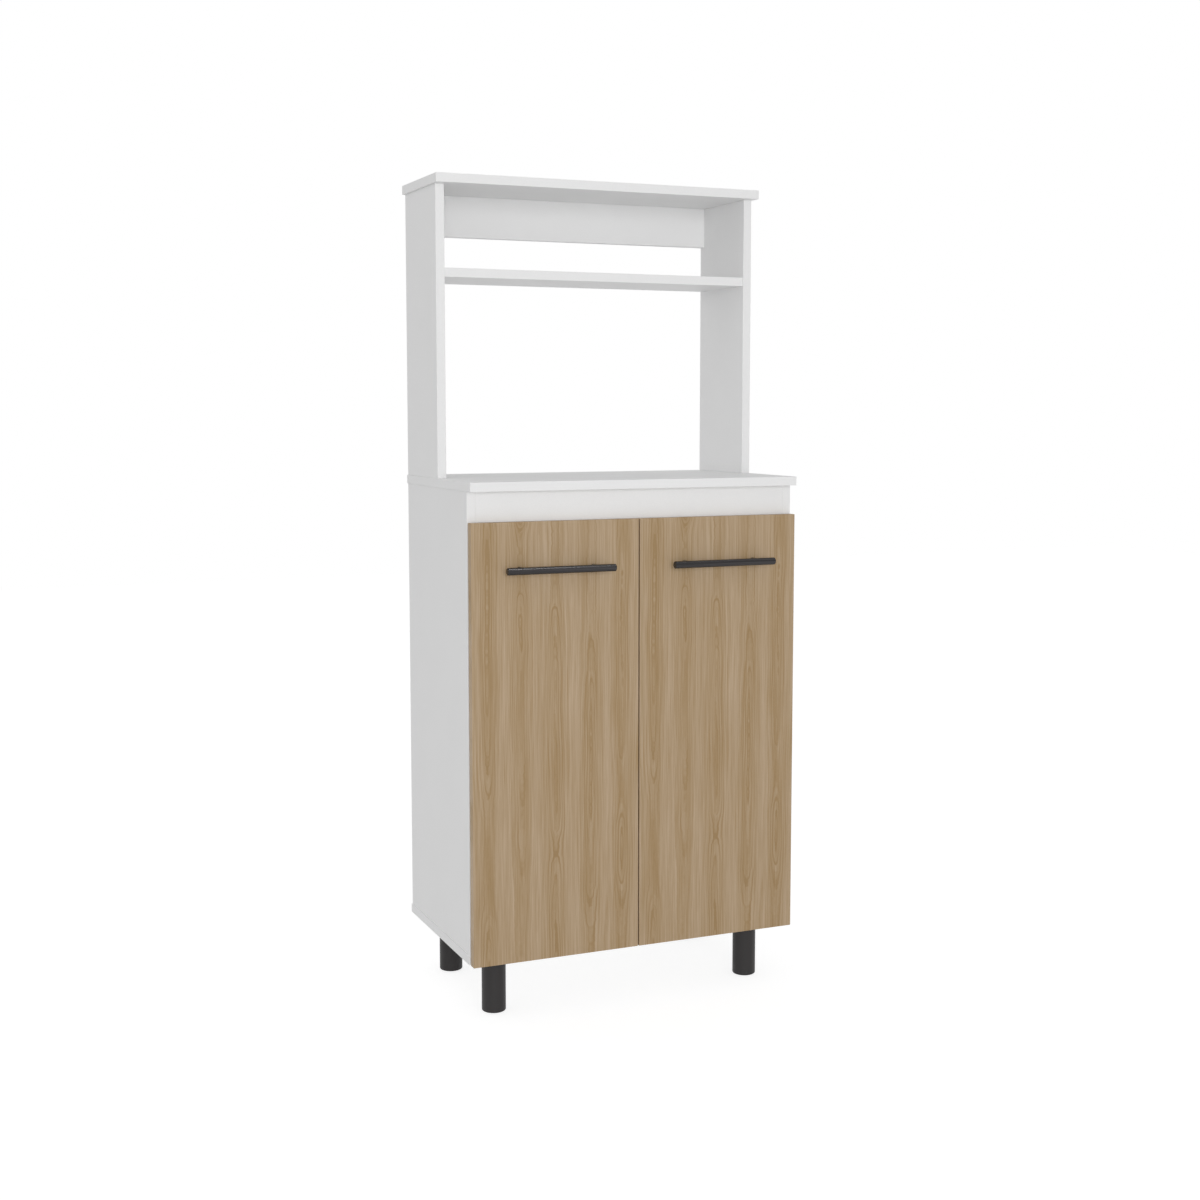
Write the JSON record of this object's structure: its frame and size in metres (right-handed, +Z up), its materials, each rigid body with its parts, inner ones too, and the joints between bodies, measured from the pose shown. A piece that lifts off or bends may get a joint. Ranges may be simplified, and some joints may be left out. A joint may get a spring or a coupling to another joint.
{
  "type": "microwave cabinet",
  "caption": "Tall white kitchen cabinet with wood-look doors and bar handles under a worktop, an open hutch above for a microwave oven, on round black legs.",
  "frame": {"origin": "on the floor, under the middle of the whole cabinet's box", "axes": "+Z up, -Y towards the front where the doors and handles are, +X to the viewer's right"},
  "size_m": [0.591, 0.3654, 1.373],
  "materials": {
    "white_melamine": "white melamine-faced chipboard, fine satin texture",
    "oak_melamine": "light oak-look melamine on chipboard, satin",
    "black_plastic": "satin black moulded plastic",
    "anthracite_metal": "anthracite coated, semi-gloss",
    "nickel_steel": "nickel-plated pressed steel",
    "zinc_steel": "bright zinc-plated steel",
    "zinc_alloy": "die-cast zinc alloy, dull",
    "hardboard": "white-faced hardboard",
    "beech": "turned beech",
    "felt": "grey felt",
    "white_plastic": "white moulded plastic",
    "clear_rubber": "soft translucent"
  },
  "bodies": {
    "cabinet": {"bottom_panel": "white_melamine", "worktop": "white_melamine", "left_side_panel": "white_melamine", "right_side_panel": "white_melamine", "front_rail": "white_melamine", "interior_shelf": "white_melamine", "hutch_left_side": "white_melamine", "hutch_right_side": "white_melamine", "hutch_top": "white_melamine", "hutch_shelf": "white_melamine", "hutch_back_rail": "white_melamine", "front_left_leg": "black_plastic", "front_right_leg": "black_plastic", "back_left_leg": "black_plastic", "back_right_leg": "black_plastic", "back_panel": "hardboard", "leg_glides": "felt", "leg_studs": "zinc_steel", "leg_inserts": "zinc_steel", "wood_dowels": "beech", "cam_locks": "zinc_alloy", "cam_bolts": "zinc_steel", "connecting_screws": "zinc_steel", "screw_caps": "white_plastic", "back_panel_nails": "zinc_steel", "left_upper_hinge_arm": "nickel_steel", "left_upper_hinge_plate": "nickel_steel", "left_lower_hinge_arm": "nickel_steel", "left_lower_hinge_plate": "nickel_steel", "left_arm_screws": "zinc_steel", "left_plate_screws": "zinc_steel", "right_upper_hinge_arm": "nickel_steel", "right_upper_hinge_plate": "nickel_steel", "right_lower_hinge_arm": "nickel_steel", "right_lower_hinge_plate": "nickel_steel", "right_arm_screws": "zinc_steel", "right_plate_screws": "zinc_steel"},
    "left_door": {"left_door": "oak_melamine", "left_upper_hinge_cup": "nickel_steel", "left_lower_hinge_cup": "nickel_steel", "left_hinge_pins": "zinc_steel", "left_cup_screws": "zinc_steel", "left_handle_bar": "anthracite_metal", "left_handle_posts": "anthracite_metal", "left_handle_screws": "zinc_steel", "left_door_bumpers": "clear_rubber"},
    "right_door": {"right_door": "oak_melamine", "right_upper_hinge_cup": "nickel_steel", "right_lower_hinge_cup": "nickel_steel", "right_hinge_pins": "zinc_steel", "right_cup_screws": "zinc_steel", "right_handle_bar": "anthracite_metal", "right_handle_posts": "anthracite_metal", "right_handle_screws": "zinc_steel", "right_door_bumpers": "clear_rubber"}
  },
  "joints": [
    {"name": "left_door_hinge", "type": "hinge", "parent": "cabinet", "child": "left_door", "pos_m": [-0.2827, -0.1467, 0.456], "axis": [0, 0, -1], "range_deg": [0, 95]},
    {"name": "right_door_hinge", "type": "hinge", "parent": "cabinet", "child": "right_door", "pos_m": [0.2827, -0.1467, 0.456], "axis": [0, 0, 1], "range_deg": [0, 95]}
  ]
}
